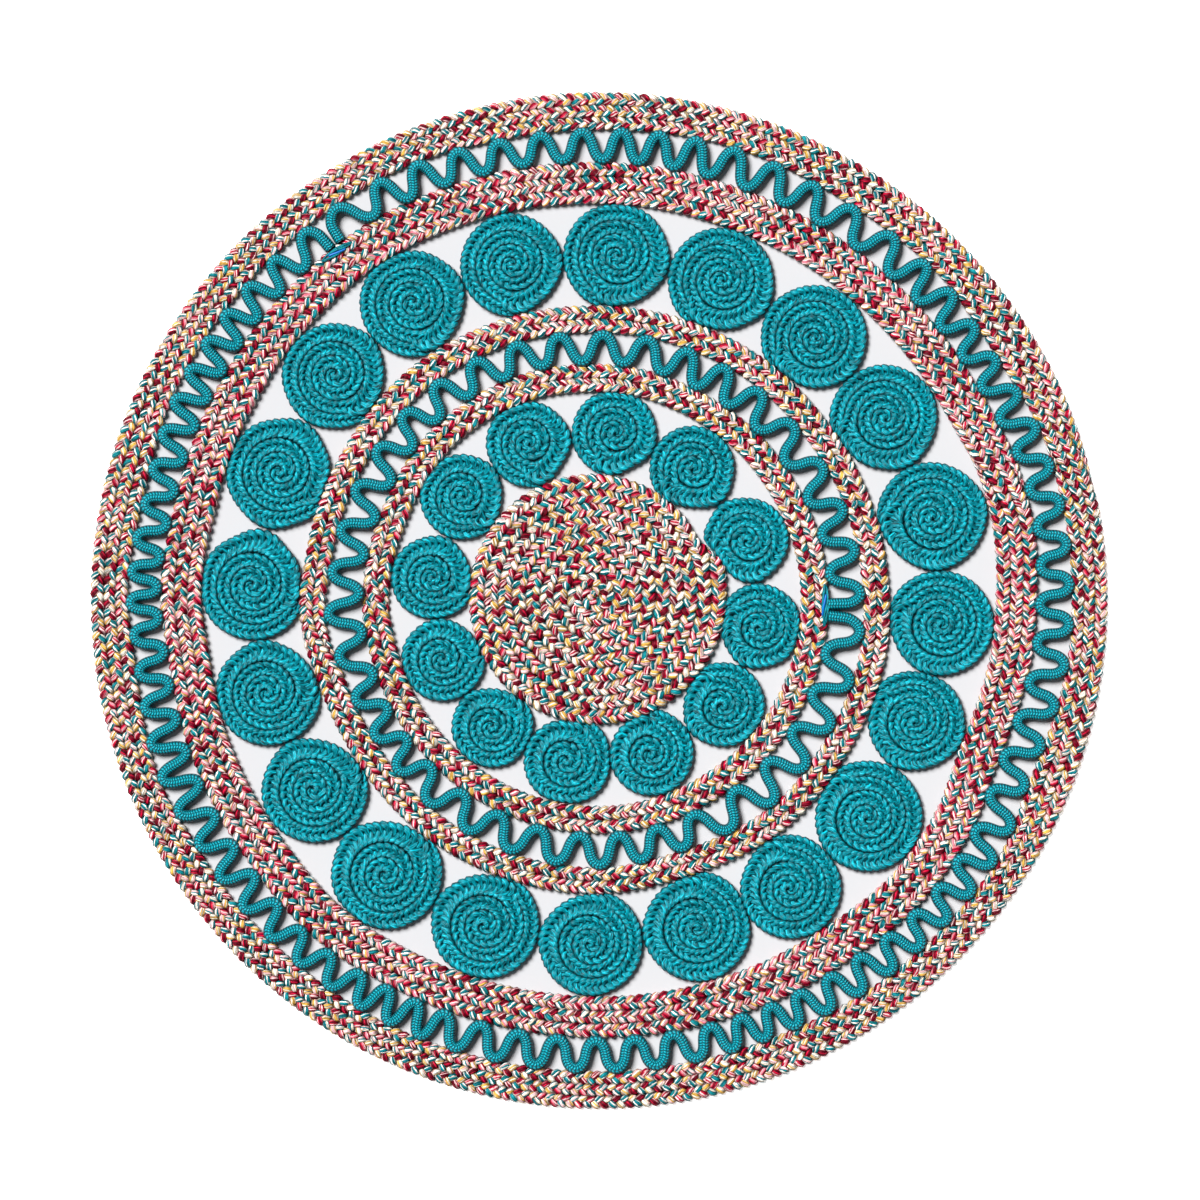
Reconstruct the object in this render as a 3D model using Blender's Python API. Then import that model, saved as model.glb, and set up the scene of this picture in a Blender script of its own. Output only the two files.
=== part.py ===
"""Round braided rug, lying flat on the floor.

From the middle out it is a coiled centre disc, a ring of small rosettes, two plaited bands
with a zigzag cord between them, a ring of large rosettes, and two wider plaited bands with
another zigzag cord between them. Every piece that is coiled, plaited and sewn on is a solid
of its own with a flat underside, and a small gap parts it from the pieces it is sewn to.

Units are metres. Angles are degrees clockwise from the rug's +Y side, seen from above, both
round the rug and round a rosette. The origin is the rug's middle, on the floor.
"""

import math
from collections import namedtuple

import bpy
import bmesh
import numpy as np

# ---------------------------------------------------------------- driving dimensions

MM = 0.001

RUG_RADIUS = 609 * MM
PLAIT_HEIGHT = 11 * MM      # crest of a plait row
GROOVE_HEIGHT = 8 * MM      # groove between two rows
EDGE_HEIGHT = 5 * MM        # top of the upright side of a plaited piece
CORD_DIAMETER = 13 * MM
PIECE_GAP = 0.4 * MM        # between sewn pieces
PRESS_STRIDE = 0.05 * MM    # how little a rosette is pressed in at a time
FACET_TESTS = 9             # places tested along each facet of a rosette's outline
SEAT_REACH = 5 * MM         # a rosette bulges out by less than this to meet a neighbour

CENTRE_X = -5.5 * MM
CENTRE_Y = 5.3 * MM
CENTRE_RADIUS = 158 * MM    # at the tail, where the coil is widest
CENTRE_TURNS = 9.5
CENTRE_TAIL = 75
CENTRE_STEPS = 28

# How much of one plait's width a rosette's outline draws in over a turn from its tail.
ROSETTE_DRAW_IN = 0.35

STEPS_BETWEEN_SEATS = 3     # outline steps from one of a rosette's four contacts to the next
TAIL_STEP = 7               # the step, clockwise from the one facing outwards, that has the tail
SMALL_TURNS = 3.25
LARGE_TURNS = 4.0

# A zigzag cord is a sine wave whose turns are widened by this share of the wave.
TURN_ROUNDNESS = 0.048
NUDGE = 0.001               # waves to either side of a place that give the cord's direction
CORD_END_GAP = 0.8 * MM     # from a cord's end to the band that it runs in to
# Phases of one wave at which the cord has a section: 0 is its inner turn, 0.5 its outer turn.
WAVE_PHASES = (0.0, 0.13, 0.37, 0.5, 0.63, 0.87)
# The cord's section, as (across, up) in cord diameters: flat below, a blunt crown above.
CORD_SECTION = ((-0.3, 0.0), (-0.5, 0.47), (0.0, 1.0), (0.5, 0.47), (0.3, 0.0))

# ---------------------------------------------------------------- tables

Band = namedtuple("Band", "name rows inner outer steps outer_share sway")
# inner and outer: radii of the edges. sway: how far the band strays outwards from a true
# circle, as (angle, millimetres), eased from row to row; outer_share is how much of that
# the outer edge follows.

BAND_A = Band("band_a", 2, 247.5 * MM, 280.0 * MM, 48, 1.0, (
    (0, 3.0), (35, -3.0), (60, -5.5), (100, -5.0), (140, -3.5), (180, -0.5),
    (220, 0.0), (250, 1.0), (272, 4.0), (290, 2.0), (320, 7.0), (342, 6.0)))

BAND_B = Band("band_b", 2, 320.5 * MM, 352.0 * MM, 48, 1.0, (
    (0, 1.0), (30, -1.0), (55, -5.0), (78, -5.0), (105, -1.5), (122, -2.0),
    (138, 1.5), (163, -4.5), (180, 0.0), (212, 0.0), (242, -3.5), (254, -1.0),
    (266, 8.0), (280, 3.5), (298, 3.5), (322, 6.5), (340, 4.0)))

BAND_C = Band("band_c", 3, 475.5 * MM, 524.5 * MM, 60, 1.0, (
    (0, 0.5), (20, -2.5), (45, -4.0), (62, -3.5), (72, 3.5), (79, 5.0),
    (92, 0.0), (112, -8.0), (125, 3.0), (133, 5.5), (146, 1.0), (165, 0.0),
    (190, -0.5), (205, 1.0), (219, 5.0), (235, -0.5), (250, -1.5), (261, -4.0),
    (271, 1.5), (283, -3.0), (296, -1.0), (312, 3.0), (328, 6.0), (342, 3.5)))

BAND_D = Band("band_d", 3, 565.0 * MM, RUG_RADIUS, 60, 0.0, (
    (0, -0.5), (15, 1.5), (33, -3.0), (46, -0.5), (57, -6.5), (70, 1.5),
    (80, 2.5), (95, 2.0), (113, -5.5), (123, 5.0), (140, 3.5), (160, -1.0),
    (185, 0.0), (207, 2.5), (228, 1.5), (240, 0.0), (247, 4.0), (262, -4.5),
    (271, 0.0), (283, -5.5), (298, 1.5), (315, 2.5), (335, 4.0), (350, -1.0)))

Rosette = namedtuple("Rosette", "angle distance radius")
# angle round the rug; distance of its middle from the rug's middle and radius, in millimetres

SMALL_ROSETTES = (
    Rosette(5.5, 202.5, 52.5), Rosette(35.5, 194.5, 52.5), Rosette(68.0, 192.0, 52.0),
    Rosette(99.5, 195.5, 52.0), Rosette(130.5, 195.0, 52.0), Rosette(161.5, 194.0, 53.0),
    Rosette(191.5, 196.0, 55.0), Rosette(220.5, 199.0, 50.5), Rosette(249.5, 201.0, 51.5),
    Rosette(278.0, 202.0, 51.5), Rosette(307.5, 206.5, 52.5), Rosette(336.0, 206.5, 52.5))

LARGE_ROSETTES = (
    Rosette(3.0, 414.0, 65.0), Rosette(21.0, 411.0, 65.0), Rosette(39.5, 407.5, 65.0),
    Rosette(57.5, 406.0, 65.5), Rosette(76.0, 412.0, 66.5), Rosette(94.0, 411.0, 65.0),
    Rosette(111.0, 405.5, 61.0), Rosette(129.0, 414.0, 68.0), Rosette(146.5, 413.5, 63.5),
    Rosette(163.5, 409.0, 67.0), Rosette(181.5, 411.5, 64.0), Rosette(199.5, 413.0, 66.5),
    Rosette(218.0, 416.0, 68.5), Rosette(236.5, 410.5, 65.0), Rosette(254.5, 413.0, 64.5),
    Rosette(272.5, 416.0, 66.0), Rosette(292.0, 413.0, 66.5), Rosette(310.5, 417.0, 64.5),
    Rosette(328.0, 421.0, 65.0), Rosette(345.5, 416.5, 62.5))

Pace = namedtuple("Pace", "angle waves")
# how many waves of a zigzag cord lie before an angle; its ends lie on the legs of a wave

INNER_CORD_PACE = (
    Pace(93.9, 0.25), Pace(103, 1), Pace(144.5, 5), Pace(156.5, 6), Pace(184.5, 9),
    Pace(215, 12), Pace(225.5, 13), Pace(252, 16), Pace(262.5, 17), Pace(290, 20),
    Pace(309, 22), Pace(356, 27), Pace(375.5, 29), Pace(393, 31), Pace(402.5, 32),
    Pace(424.5, 34), Pace(443.5, 36), Pace(451.0, 36.75))

OUTER_CORD_PACE = (
    Pace(324.3, 0.25), Pace(329.6, 1), Pace(360.5, 7), Pace(374.3, 10), Pace(390.1, 13),
    Pace(401.8, 15), Pace(430.7, 21), Pace(455.5, 26), Pace(481.5, 31), Pace(495, 34),
    Pace(513.1, 38), Pace(525.4, 41), Pace(560.4, 48), Pace(572.6, 51), Pace(605.5, 58),
    Pace(627.8, 63), Pace(635.5, 65), Pace(653.2, 69), Pace(669.4, 73), Pace(678.4, 75),
    Pace(682.7, 75.75))

# ---------------------------------------------------------------- materials and objects

Finish = namedtuple("Finish", "name color roughness")
MIXED_YARN = Finish("mixed_yarn", (0.60, 0.33, 0.30, 1.0), 0.85)
TEAL_YARN = Finish("teal_yarn", (0.01, 0.30, 0.36, 1.0), 0.80)
TEAL_CORD = Finish("teal_cord", (0.01, 0.34, 0.40, 1.0), 0.70)


def clear_scene():
    """Remove every object that is in the file."""
    for old in list(bpy.data.objects):
        bpy.data.objects.remove(old, do_unlink=True)


def make_material(finish, name):
    """A Principled material with one piece's colour and roughness."""
    material = bpy.data.materials.new(name)
    material.use_nodes = True
    shader = material.node_tree.nodes["Principled BSDF"]
    shader.inputs["Base Color"].default_value = finish.color
    shader.inputs["Roughness"].default_value = finish.roughness
    shader.inputs["Metallic"].default_value = 0.0
    return material


def make_piece(collection, name, points, faces, finish):
    """One closed solid from its points and faces, with its faces turned outwards."""
    mesh = bpy.data.meshes.new(name)
    mesh.from_pydata([tuple(point) for point in points], [], faces)
    shape = bmesh.new()
    shape.from_mesh(mesh)
    bmesh.ops.recalc_face_normals(shape, faces=shape.faces)
    shape.to_mesh(mesh)
    shape.free()
    mesh.materials.append(make_material(finish, name + "_" + finish.name))
    piece = bpy.data.objects.new(name, mesh)
    collection.objects.link(piece)
    return piece


# ---------------------------------------------------------------- places round the rug

def polar(angle, radius):
    """x and y of a point at a clockwise angle from +Y and a distance from the middle."""
    turn = np.radians(angle)
    return radius * np.sin(turn), radius * np.cos(turn)


def sway_at(band, angle):
    """How far a band strays outwards at an angle: a cosine ease from each row to the next."""
    angles = np.array([row[0] for row in band.sway] + [band.sway[0][0] + 360.0])
    shifts = np.array([row[1] for row in band.sway] + [band.sway[0][1]]) * MM
    place = np.mod(angle, 360.0)
    before = np.clip(np.searchsorted(angles, place, side="right") - 1, 0, len(angles) - 2)
    share = (place - angles[before]) / (angles[before + 1] - angles[before])
    ease = (1.0 - np.cos(math.pi * share)) / 2.0
    return shifts[before] + (shifts[before + 1] - shifts[before]) * ease


def inner_edge(band, angle):
    """Radius of a band's inner edge at an angle."""
    return band.inner + sway_at(band, angle)


def outer_edge(band, angle):
    """Radius of a band's outer edge at an angle."""
    return band.outer + band.outer_share * sway_at(band, angle)


def facet_crossing(ax, ay, bx, by, angle):
    """Distance from the middle at which a ray at an angle crosses the line from a to b."""
    ux, uy = polar(angle, 1.0)
    return (ax * by - ay * bx) / (ux * (by - ay) - uy * (bx - ax))


def facet_radius(edge, band, angle):
    """Radius at an angle of the straight facet that the band's solid has there."""
    step = 360.0 / band.steps
    first = np.floor(np.asarray(angle, float) / step) * step
    ax, ay = polar(first, edge(band, first))
    bx, by = polar(first + step, edge(band, first + step))
    return facet_crossing(ax, ay, bx, by, angle)


# ---------------------------------------------------------------- plaited bands

def band_section(rows):
    """A band's section as (share of its width, height): a crest on each row, grooves between."""
    section = [(0.0, 0.0), (0.0, EDGE_HEIGHT)]
    for row in range(rows):
        if row > 0:
            section.append((row / rows, GROOVE_HEIGHT))
        section.append(((row + 0.5) / rows, PLAIT_HEIGHT))
    section += [(1.0, EDGE_HEIGHT), (1.0, 0.0)]
    return section


def make_band(collection, band):
    """A ring lofted from the band's section, which follows both swaying edges round the rug."""
    section = band_section(band.rows)
    across = np.array([point[0] for point in section])
    heights = np.array([point[1] for point in section])
    angles = np.arange(band.steps) * 360.0 / band.steps
    inner = inner_edge(band, angles)[:, None]
    outer = outer_edge(band, angles)[:, None]
    x, y = polar(angles[:, None], inner + (outer - inner) * across)
    z = np.broadcast_to(heights, x.shape)
    points = np.stack([x, y, z], axis=-1).reshape(-1, 3)
    count = len(section)
    faces = []
    for step in range(band.steps):
        here = step * count
        after = (step + 1) % band.steps * count
        for side in range(count):
            beside = (side + 1) % count
            faces.append((here + side, here + beside, after + beside, after + side))
    return make_piece(collection, band.name, points, faces, MIXED_YARN)


# ---------------------------------------------------------------- coiled discs

def make_coil(collection, name, middle, angles, outline, radius, turns, finish):
    """A flat disc coiled from one plait, from its tail on the outline inwards to its middle.

    angles and outline give the outline's steps over one turn, starting at the tail and going
    clockwise. Groove point j is j steps in from the tail. On the first turn it lies on the
    outline, after that it is one plait further in each turn, and the last one is the middle.
    Crest point j is halfway between groove point j and the one a turn further in.
    """
    steps = len(angles)
    last = round(turns * steps)
    spot = np.arange(last + 1)
    reach = radius * (1.0 - spot / last)
    reach[:steps] = outline
    turn = angles[spot % steps]
    groove_x, groove_y = polar(turn, reach)
    crest_count = last - steps + 1
    crest_x, crest_y = polar(turn[:crest_count], (reach[:crest_count] + reach[steps:]) / 2.0)
    groove_z = np.where(spot < steps, EDGE_HEIGHT, GROOVE_HEIGHT)
    groove_z[last] = PLAIT_HEIGHT
    grooves = np.stack([groove_x, groove_y, groove_z], axis=1)
    crests = np.stack([crest_x, crest_y, np.full(crest_count, PLAIT_HEIGHT)], axis=1)
    base = grooves[:steps] * (1.0, 1.0, 0.0)
    points = np.concatenate([grooves, crests, base]) + (middle[0], middle[1], 0.0)

    crest = last + 1
    floor = crest + crest_count
    faces = [(steps - 1, steps, crest), (steps - 1, crest, 0)]
    for j in range(crest_count - 1):
        faces.append((j, j + 1, crest + j + 1, crest + j))
        faces.append((crest + j, crest + j + 1, j + 1 + steps, j + steps))
    for j in range(last - steps, last - 1):
        faces.append((last, j, j + 1))
    faces.append((last, crest + crest_count - 1, last - steps))
    for j in range(steps):
        beside = (j + 1) % steps
        faces.append((j, beside, floor + beside, floor + j))
    faces.append(tuple(floor + j for j in range(steps)))
    return make_piece(collection, name, points, faces, finish)


def make_centre(collection):
    """The disc of mixed plait in the middle of the rug."""
    around = np.arange(CENTRE_STEPS) / CENTRE_STEPS
    outline = CENTRE_RADIUS * (1.0 - around / CENTRE_TURNS)
    make_coil(collection, "centre_disc", (CENTRE_X, CENTRE_Y), CENTRE_TAIL + 360.0 * around,
              outline, CENTRE_RADIUS, CENTRE_TURNS, MIXED_YARN)


def centre_outline(angle):
    """Radius of the centre disc's faceted outline at an angle round its own middle."""
    step = 360.0 / CENTRE_STEPS
    first = np.floor(np.mod(angle - CENTRE_TAIL, 360.0) / step)
    turned = CENTRE_TURNS * CENTRE_STEPS
    near = CENTRE_RADIUS * (1.0 - first / turned)
    far = CENTRE_RADIUS * (1.0 - np.mod(first + 1, CENTRE_STEPS) / turned)
    ax, ay = polar(CENTRE_TAIL + first * step, near)
    bx, by = polar(CENTRE_TAIL + (first + 1) * step, far)
    return facet_crossing(ax, ay, bx, by, angle)


def rosette_middle(rosette):
    """x and y of a rosette's middle."""
    return polar(rosette.angle, rosette.distance * MM)


def way_to(start, end):
    """Clockwise angle from +Y of the way from one point to another, and its length."""
    x = end[0] - start[0]
    y = end[1] - start[1]
    return np.degrees(np.arctan2(x, y)), np.hypot(x, y)


def room_outside_centre(x, y):
    """Distance of points from the centre disc's outline."""
    angle, away = way_to((CENTRE_X, CENTRE_Y), (x, y))
    return away - centre_outline(angle)


def room_outside_band_b(x, y):
    """Distance of points from band B's outer edge."""
    angle, away = way_to((0.0, 0.0), (x, y))
    return away - facet_radius(outer_edge, BAND_B, angle)


def rosette_room(ring, index, room_inside, outer_band, x, y):
    """Distance of points from whatever a rosette is sewn to: the least of its four contacts."""
    rosette = ring[index]
    middle = rosette_middle(rosette)
    angle, away = way_to((0.0, 0.0), (x, y))
    rooms = [room_inside(x, y), facet_radius(inner_edge, outer_band, angle) - away]
    for beside in (ring[index - 1], ring[(index + 1) % len(ring)]):
        way, apart = way_to(middle, rosette_middle(beside))
        share = (apart + (rosette.radius - beside.radius) * MM) / 2.0
        ux, uy = polar(way, 1.0)
        rooms.append(share + PIECE_GAP / 2.0 - (x - middle[0]) * ux - (y - middle[1]) * uy)
    return np.min(rooms, axis=0)


def crowded_facets(middle, angles, outline, shares, room):
    """Which facets of an outline lack free room at any of some shares of the way along them."""
    ux, uy = polar(angles, 1.0)
    x = middle[0] + outline * ux
    y = middle[1] + outline * uy
    along_x = x + (np.roll(x, -1) - x) * shares[:, None]
    along_y = y + (np.roll(y, -1) - y) * shares[:, None]
    return (room(along_x, along_y) < PIECE_GAP).any(axis=0)


def press_in(middle, angles, outline, room):
    """Draw an outline in, a little at a time, until it lies in free room.

    Its corners are drawn in first, each on its own. After that, a facet that still lacks
    room draws in the corner at either end of it.
    """
    corner = np.zeros(1)
    crowded = crowded_facets(middle, angles, outline, corner, room)
    while crowded.any():
        outline = outline - PRESS_STRIDE * crowded
        crowded = crowded_facets(middle, angles, outline, corner, room)
    facet = np.linspace(0.0, 1.0, FACET_TESTS)
    crowded = crowded_facets(middle, angles, outline, facet, room)
    while crowded.any():
        outline = outline - PRESS_STRIDE * (crowded | np.roll(crowded, 1))
        crowded = crowded_facets(middle, angles, outline, facet, room)
    return outline


def rosette_outline(ring, index, turns, room_inside, outer_band):
    """A rosette's middle, and its outline's angles and radii from its tail, clockwise.

    The outline has steps that face outwards, to the next rosette, inwards and to the rosette
    before, and even steps between them. Those four start too far out, so that each is
    pressed back to what it meets.
    """
    rosette = ring[index]
    middle = rosette_middle(rosette)
    next_way = way_to(middle, rosette_middle(ring[(index + 1) % len(ring)]))[0]
    last_way = way_to(middle, rosette_middle(ring[index - 1]))[0]
    seats = [0.0, (next_way - rosette.angle) % 360.0, 180.0,
             (last_way - rosette.angle) % 360.0, 360.0]
    steps = 4 * STEPS_BETWEEN_SEATS
    place = (TAIL_STEP + np.arange(steps)) % steps
    angles = rosette.angle + np.interp(place / STEPS_BETWEEN_SEATS, range(5), seats)
    radius = rosette.radius * MM
    outline = radius * (1.0 - ROSETTE_DRAW_IN * np.arange(steps) / steps / turns)
    outline[place % STEPS_BETWEEN_SEATS == 0] = radius + SEAT_REACH

    def room(x, y):
        return rosette_room(ring, index, room_inside, outer_band, x, y)

    return middle, angles, press_in(middle, angles, outline, room)


def make_rosettes(collection, name, ring, turns, room_inside, outer_band):
    """A ring of teal rosettes, each its own piece."""
    for index in range(len(ring)):
        middle, angles, outline = rosette_outline(ring, index, turns, room_inside, outer_band)
        make_coil(collection, f"{name}_{index + 1:02d}", middle, angles, outline,
                  ring[index].radius * MM, turns, TEAL_YARN)


# ---------------------------------------------------------------- zigzag cords

def cord_route(pace, inner_band, outer_band, waves):
    """Angle and radius of the cord's middle after a number of waves.

    The angle follows the pace table plus a double-speed sine that rounds the turns; the
    radius swings as a cosine between the facets of the two bands the cord is sewn to.
    """
    counts = [row.waves for row in pace]
    angle = np.interp(waves, counts, [row.angle for row in pace])
    ahead = np.interp(waves + 0.5, counts, [row.angle for row in pace])
    behind = np.interp(waves - 0.5, counts, [row.angle for row in pace])
    angle = angle + TURN_ROUNDNESS * (ahead - behind) * np.sin(4.0 * math.pi * waves)
    inset = CORD_DIAMETER / 2.0 + PIECE_GAP
    low = facet_radius(outer_edge, inner_band, angle) + inset
    high = facet_radius(inner_edge, outer_band, angle) - inset
    swing = (1.0 - np.cos(2.0 * math.pi * waves)) / 2.0
    return angle, low + (high - low) * swing


def cord_waves(pace):
    """The wave counts at which a cord has sections, from one end's leg to the other's."""
    first = pace[0].waves
    last = pace[-1].waves
    counts = [wave + phase for wave in range(math.ceil(last)) for phase in WAVE_PHASES]
    return np.array([first] + [count for count in counts if first < count < last] + [last])


def cord_line(pace, inner_band, outer_band):
    """Points along the cord's middle and its direction at each.

    Both ends run straight in from their leg to the inner band.
    """
    waves = cord_waves(pace)
    angle, radius = cord_route(pace, inner_band, outer_band, waves)
    middle = np.stack(polar(angle, radius), axis=1)
    before = np.stack(polar(*cord_route(pace, inner_band, outer_band, waves - NUDGE)), axis=1)
    after = np.stack(polar(*cord_route(pace, inner_band, outer_band, waves + NUDGE)), axis=1)
    way = (after - before) / np.linalg.norm(after - before, axis=1)[:, None]
    outward = np.stack(polar(angle[[0, -1]], 1.0), axis=1)
    way[0], way[-1] = outward[0], -outward[1]
    foot = facet_radius(outer_edge, inner_band, angle[[0, -1]]) + CORD_END_GAP
    landing = outward * foot[:, None]
    middle = np.concatenate([landing[:1], middle, landing[1:]])
    way = np.concatenate([way[:1], way, way[-1:]])
    return middle, way


def make_cord(collection, name, pace, inner_band, outer_band):
    """A zigzag cord lofted from its section along its line."""
    middle, way = cord_line(pace, inner_band, outer_band)
    across = np.stack([way[:, 1], -way[:, 0]], axis=1)
    section = np.array(CORD_SECTION) * CORD_DIAMETER
    flat = middle[:, None, :] + across[:, None, :] * section[None, :, :1]
    height = np.broadcast_to(section[:, 1], flat.shape[:2])
    points = np.concatenate([flat, height[:, :, None]], axis=2).reshape(-1, 3)
    count = len(section)
    faces = [tuple(range(count))]
    for step in range(len(middle) - 1):
        for side in range(count):
            beside = (side + 1) % count
            here = step * count
            faces.append((here + side, here + beside,
                          here + count + beside, here + count + side))
    faces.append(tuple(range(len(points) - count, len(points))))
    return make_piece(collection, name, points, faces, TEAL_CORD)


# ---------------------------------------------------------------- the rug

def make_rug():
    """Build every piece of the rug in a collection of its own."""
    clear_scene()
    collection = bpy.data.collections.new("braided_rug")
    bpy.context.scene.collection.children.link(collection)
    make_centre(collection)
    make_rosettes(collection, "small_rosette", SMALL_ROSETTES, SMALL_TURNS,
                  room_outside_centre, BAND_A)
    make_band(collection, BAND_A)
    make_cord(collection, "inner_cord", INNER_CORD_PACE, BAND_A, BAND_B)
    make_band(collection, BAND_B)
    make_rosettes(collection, "large_rosette", LARGE_ROSETTES, LARGE_TURNS,
                  room_outside_band_b, BAND_C)
    make_band(collection, BAND_C)
    make_cord(collection, "outer_cord", OUTER_CORD_PACE, BAND_C, BAND_D)
    make_band(collection, BAND_D)


make_rug()
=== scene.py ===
"""Looks of the round braided rug.

Every plait is three yarn strands carried over and under each other along its row, every
zigzag cord is a round cord in a braided sheath, and the rug lies on a pale studio floor.
Units are metres. Angles are degrees clockwise from +Y, seen from above.
"""

import math
from collections import namedtuple

import bpy
import numpy as np
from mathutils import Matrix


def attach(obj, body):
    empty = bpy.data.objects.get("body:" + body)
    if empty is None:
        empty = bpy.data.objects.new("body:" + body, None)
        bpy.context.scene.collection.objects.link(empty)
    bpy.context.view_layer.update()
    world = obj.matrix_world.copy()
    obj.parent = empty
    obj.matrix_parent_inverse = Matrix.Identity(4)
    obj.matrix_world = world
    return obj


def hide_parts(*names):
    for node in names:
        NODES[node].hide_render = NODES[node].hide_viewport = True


bl_info = {
    "name": "Round Braided Rug",
    "version": (1, 0, 0),
    "blender": (4, 5, 0),
    "location": "3D View > Sidebar > Rug",
    "description": "Plaits, cords and finishes of a round braided rug",
    "category": "Add Mesh",
}

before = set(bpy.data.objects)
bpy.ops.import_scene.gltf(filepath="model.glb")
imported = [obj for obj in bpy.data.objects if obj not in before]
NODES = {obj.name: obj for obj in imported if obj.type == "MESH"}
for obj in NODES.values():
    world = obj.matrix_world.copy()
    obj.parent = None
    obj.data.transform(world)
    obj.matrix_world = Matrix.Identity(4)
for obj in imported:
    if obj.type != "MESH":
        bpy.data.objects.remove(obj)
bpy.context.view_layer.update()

# ---------------- tables

Coil = namedtuple("Coil", "node x y tail radius turns taper")
# a coiled disc: its middle, the angle of its tail, its radius at the tail, and over how many
# degrees the tail's plait tapers

CENTRE_COIL = Coil("centre_disc", -0.0055, 0.0053, 75.0, 0.158, 9.5, 20.0)

Rosette = namedtuple("Rosette", "angle distance radius")
# angle round the rug; distance of its middle from the rug's middle and radius, in millimetres

SMALL_ROSETTES = (
    Rosette(5.5, 202.5, 52.5), Rosette(35.5, 194.5, 52.5), Rosette(68.0, 192.0, 52.0),
    Rosette(99.5, 195.5, 52.0), Rosette(130.5, 195.0, 52.0), Rosette(161.5, 194.0, 53.0),
    Rosette(191.5, 196.0, 55.0), Rosette(220.5, 199.0, 50.5), Rosette(249.5, 201.0, 51.5),
    Rosette(278.0, 202.0, 51.5), Rosette(307.5, 206.5, 52.5), Rosette(336.0, 206.5, 52.5))

LARGE_ROSETTES = (
    Rosette(3.0, 414.0, 65.0), Rosette(21.0, 411.0, 65.0), Rosette(39.5, 407.5, 65.0),
    Rosette(57.5, 406.0, 65.5), Rosette(76.0, 412.0, 66.5), Rosette(94.0, 411.0, 65.0),
    Rosette(111.0, 405.5, 61.0), Rosette(129.0, 414.0, 68.0), Rosette(146.5, 413.5, 63.5),
    Rosette(163.5, 409.0, 67.0), Rosette(181.5, 411.5, 64.0), Rosette(199.5, 413.0, 66.5),
    Rosette(218.0, 416.0, 68.5), Rosette(236.5, 410.5, 65.0), Rosette(254.5, 413.0, 64.5),
    Rosette(272.5, 416.0, 66.0), Rosette(292.0, 413.0, 66.5), Rosette(310.5, 417.0, 64.5),
    Rosette(328.0, 421.0, 65.0), Rosette(345.5, 416.5, 62.5))

SMALL_TURNS = 3.25
LARGE_TURNS = 4.0
ROSETTE_TAIL = 210.0        # degrees clockwise from a rosette's outer side to its tail
ROSETTE_TAPER = 28.0        # degrees over which its tail tapers

Band = namedtuple("Band", "node rows join_start join_end third_strand")
# a plaited band, the angles between which its rows shift one row outwards, and the finish of
# the third strand of its plait

BANDS = (
    Band("band_a", 2, 262.0, 278.0, "gold"),
    Band("band_b", 2, 253.0, 268.0, "gold"),
    Band("band_c", 3, 65.0, 80.0, "rose"),
    Band("band_d", 3, 67.0, 80.0, "gold"))

Pace = namedtuple("Pace", "angle waves")
# how many waves of a zigzag cord lie before an angle; its ends lie on the legs of a wave

INNER_CORD_PACE = (
    Pace(93.9, 0.25), Pace(103, 1), Pace(144.5, 5), Pace(156.5, 6), Pace(184.5, 9),
    Pace(215, 12), Pace(225.5, 13), Pace(252, 16), Pace(262.5, 17), Pace(290, 20),
    Pace(309, 22), Pace(356, 27), Pace(375.5, 29), Pace(393, 31), Pace(402.5, 32),
    Pace(424.5, 34), Pace(443.5, 36), Pace(451.0, 36.75))

OUTER_CORD_PACE = (
    Pace(324.3, 0.25), Pace(329.6, 1), Pace(360.5, 7), Pace(374.3, 10), Pace(390.1, 13),
    Pace(401.8, 15), Pace(430.7, 21), Pace(455.5, 26), Pace(481.5, 31), Pace(495, 34),
    Pace(513.1, 38), Pace(525.4, 41), Pace(560.4, 48), Pace(572.6, 51), Pace(605.5, 58),
    Pace(627.8, 63), Pace(635.5, 65), Pace(653.2, 69), Pace(669.4, 73), Pace(678.4, 75),
    Pace(682.7, 75.75))

Cord = namedtuple("Cord", "node pace inner_band outer_band roundness")
# a zigzag cord, and how round its turns are at eight even angles round the rug: how far they
# bulge to both sides, as a share of a wave

CORDS = (Cord("inner_cord", INNER_CORD_PACE, "band_a", "band_b",
              (0.035, 0.05, 0.05, 0.045, 0.045, 0.05, 0.045, 0.05)),
         Cord("outer_cord", OUTER_CORD_PACE, "band_c", "band_d",
              (0.04, 0.045, 0.065, 0.055, 0.055, 0.035, 0.065, 0.035)))

Binding = namedtuple("Binding", "start end start_radius end_radius")
# thread that binds a cord's two ends at its inner band: angles and distances from the rug's
# middle of the binding's ends

BINDINGS = {"inner_cord": Binding(85.8, 96.6, 0.2712, 0.2711),
            "outer_cord": Binding(320.7, 325.4, 0.5244, 0.5215)}
BINDING_LEVEL = 0.0115      # height of a binding's middle
BINDING_WIDTH = 0.0034      # how far its threads lie to each side of its middle
BINDING_HEIGHT = 0.0012     # how far they lie over and under it
BINDING_DIP = 0.003         # how far its ends lie below its middle
BINDING_POINTS = 25
BINDING_THREADS = 6
THREAD_WIDTH = 0.0032
BLUE_THREAD = 2             # which of the threads is blue
BLUE_PART = slice(6, 19)    # the points of a binding that the blue one runs past

TURN_CORNER = 0.8           # shape of a zigzag, from 0 for a cosine to 1 for straight legs
CORD_LAP = 0.004            # how far a cord's turns lie over the edges of their bands
CORD_LIFT = 0.001           # how much higher they lie there
WAVE_STEP = 0.01            # waves between the points at which a zigzag is measured
FOOT_POINTS = 3             # of them are left out at each end, where the cord runs to its band
CORD_STEP = 0.0025          # distance between the rings of a cord
CORD_SIDES = 16

# ---------------- settings

def color_setting(name, description, default):
    """A colour for a group of settings."""
    return bpy.props.FloatVectorProperty(name=name, description=description, default=default,
                                         size=3, min=0, max=1, subtype="COLOR")


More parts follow.
